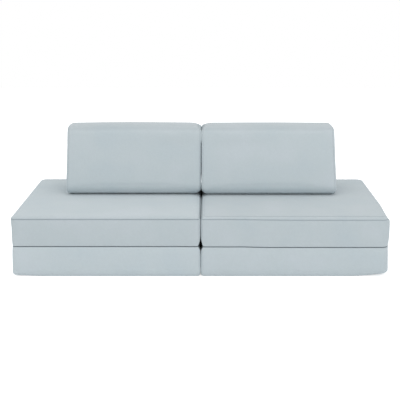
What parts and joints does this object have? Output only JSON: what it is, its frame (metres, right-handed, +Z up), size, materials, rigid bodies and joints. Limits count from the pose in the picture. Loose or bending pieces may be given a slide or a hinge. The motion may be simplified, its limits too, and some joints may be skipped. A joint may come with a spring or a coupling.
{
  "type": "modular foam floor sofa",
  "caption": "Low modular foam sofa: folding floor mats stacked as seats, with loose wedge back cushions, removable zipped fabric covers",
  "frame": {"origin": "on the floor, under the centre of the bounding box", "axes": "+X to the right of someone looking at the front, along the length; front faces -Y; +Z up"},
  "size_m": [1.6794, 0.8446, 0.5916],
  "materials": {
    "cover_fabric": "short-napped brushed polyester suede, pale blue grey",
    "foam": "open-cell polyurethane foam",
    "zip_tape": "woven polyester tape",
    "zip_coil": "nylon coil",
    "zip_metal": "lacquered die-cast zinc"
  },
  "bodies": {
    "left_base": {"left_base_foam": "foam", "left_base_front_band": "cover_fabric", "left_base_top_cloth": "cover_fabric", "left_base_under_cloth": "cover_fabric", "left_base_zip_band": "cover_fabric", "left_base_zip_chain": "zip_coil", "left_base_zip_tape": "zip_tape", "left_fold_hinge": "cover_fabric"},
    "left_base_slider": {"left_base_zip_slider": "zip_metal"},
    "left_base_pull": {"left_base_zip_pull": "zip_metal"},
    "left_seat": {"left_seat_foam": "foam", "left_seat_front_band": "cover_fabric", "left_seat_top_cloth": "cover_fabric", "left_seat_under_cloth": "cover_fabric", "left_seat_zip_band": "cover_fabric", "left_seat_zip_chain": "zip_coil", "left_seat_zip_tape": "zip_tape"},
    "left_seat_slider": {"left_seat_zip_slider": "zip_metal"},
    "left_seat_pull": {"left_seat_zip_pull": "zip_metal"},
    "left_back_cushion": {"left_back_base_cloth": "cover_fabric", "left_back_foam": "foam", "left_back_front_cloth": "cover_fabric", "left_back_inner_end_cloth": "cover_fabric", "left_back_outer_end_cloth": "cover_fabric", "left_back_rear_cloth": "cover_fabric", "left_back_zip_chain": "zip_coil", "left_back_zip_tape": "zip_tape"},
    "left_back_slider": {"left_back_zip_slider": "zip_metal"},
    "left_back_pull": {"left_back_zip_pull": "zip_metal"},
    "right_base": {"right_base_foam": "foam", "right_base_front_band": "cover_fabric", "right_base_top_cloth": "cover_fabric", "right_base_under_cloth": "cover_fabric", "right_base_zip_band": "cover_fabric", "right_base_zip_chain": "zip_coil", "right_base_zip_tape": "zip_tape", "right_fold_hinge": "cover_fabric"},
    "right_base_slider": {"right_base_zip_slider": "zip_metal"},
    "right_base_pull": {"right_base_zip_pull": "zip_metal"},
    "right_seat": {"right_seat_foam": "foam", "right_seat_front_band": "cover_fabric", "right_seat_top_cloth": "cover_fabric", "right_seat_under_cloth": "cover_fabric", "right_seat_zip_band": "cover_fabric", "right_seat_zip_chain": "zip_coil", "right_seat_zip_tape": "zip_tape"},
    "right_seat_slider": {"right_seat_zip_slider": "zip_metal"},
    "right_seat_pull": {"right_seat_zip_pull": "zip_metal"},
    "right_back_cushion": {"right_back_base_cloth": "cover_fabric", "right_back_foam": "foam", "right_back_front_cloth": "cover_fabric", "right_back_inner_end_cloth": "cover_fabric", "right_back_outer_end_cloth": "cover_fabric", "right_back_rear_cloth": "cover_fabric", "right_back_zip_chain": "zip_coil", "right_back_zip_tape": "zip_tape"},
    "right_back_slider": {"right_back_zip_slider": "zip_metal"},
    "right_back_pull": {"right_back_zip_pull": "zip_metal"}
  },
  "joints": [
    {"name": "modules_apart", "type": "slide", "parent": "left_base", "child": "right_base", "axis": [1, 0, 0], "range_m": [0, 0.3]},
    {"name": "left_fold", "type": "hinge", "parent": "left_base", "child": "left_seat", "pos_m": [-0.84025, 0, 0.13715], "axis": [0, -1, 0], "range_deg": [0, 180], "deforming": ["left_fold_hinge"]},
    {"name": "left_back_carry", "type": "hinge", "parent": "left_seat", "child": "left_back_cushion", "pos_m": [-0.0004, 0, 0.2743], "axis": [0, -1, 0], "range_deg": [-180, 0]},
    {"name": "right_fold", "type": "hinge", "parent": "right_base", "child": "right_seat", "pos_m": [0.84025, 0, 0.13715], "axis": [0, 1, 0], "range_deg": [0, 180], "deforming": ["right_fold_hinge"]},
    {"name": "right_back_carry", "type": "hinge", "parent": "right_seat", "child": "right_back_cushion", "pos_m": [0.0004, 0, 0.2743], "axis": [0, 1, 0], "range_deg": [-180, 0]},
    {"name": "left_base_zip", "type": "slide", "parent": "left_base", "child": "left_base_slider", "axis": [1, 0, 0], "range_m": [0, 0.718]},
    {"name": "left_base_pull_swing", "type": "hinge", "parent": "left_base_slider", "child": "left_base_pull", "pos_m": [-0.7786, 0.4201, 0.07025], "axis": [0, 0, -1], "range_deg": [0, 170]},
    {"name": "left_seat_zip", "type": "slide", "parent": "left_seat", "child": "left_seat_slider", "axis": [1, 0, 0], "range_m": [0, 0.718]},
    {"name": "left_seat_pull_swing", "type": "hinge", "parent": "left_seat_slider", "child": "left_seat_pull", "pos_m": [-0.7786, 0.4201, 0.2033], "axis": [0, 0, -1], "range_deg": [0, 170]},
    {"name": "left_back_zip", "type": "slide", "parent": "left_back_cushion", "child": "left_back_slider", "axis": [1, 0, 0], "range_m": [0, 0.498]},
    {"name": "left_back_pull_swing", "type": "hinge", "parent": "left_back_slider", "child": "left_back_pull", "pos_m": [-0.5762, 0.3071, 0.3446], "axis": [0, 0, -1], "range_deg": [0, 170]},
    {"name": "right_base_zip", "type": "slide", "parent": "right_base", "child": "right_base_slider", "axis": [-1, 0, 0], "range_m": [0, 0.718]},
    {"name": "right_base_pull_swing", "type": "hinge", "parent": "right_base_slider", "child": "right_base_pull", "pos_m": [0.7786, 0.4201, 0.07025], "axis": [0, 0, 1], "range_deg": [0, 170]},
    {"name": "right_seat_zip", "type": "slide", "parent": "right_seat", "child": "right_seat_slider", "axis": [-1, 0, 0], "range_m": [0, 0.718]},
    {"name": "right_seat_pull_swing", "type": "hinge", "parent": "right_seat_slider", "child": "right_seat_pull", "pos_m": [0.7786, 0.4201, 0.2033], "axis": [0, 0, 1], "range_deg": [0, 170]},
    {"name": "right_back_zip", "type": "slide", "parent": "right_back_cushion", "child": "right_back_slider", "axis": [-1, 0, 0], "range_m": [0, 0.498]},
    {"name": "right_back_pull_swing", "type": "hinge", "parent": "right_back_slider", "child": "right_back_pull", "pos_m": [0.5762, 0.3071, 0.3446], "axis": [0, 0, 1], "range_deg": [0, 170]}
  ],
  "couplings": [
    {"joint": "left_back_carry", "follows": "left_fold", "ratio": -1},
    {"joint": "right_back_carry", "follows": "right_fold", "ratio": -1}
  ]
}
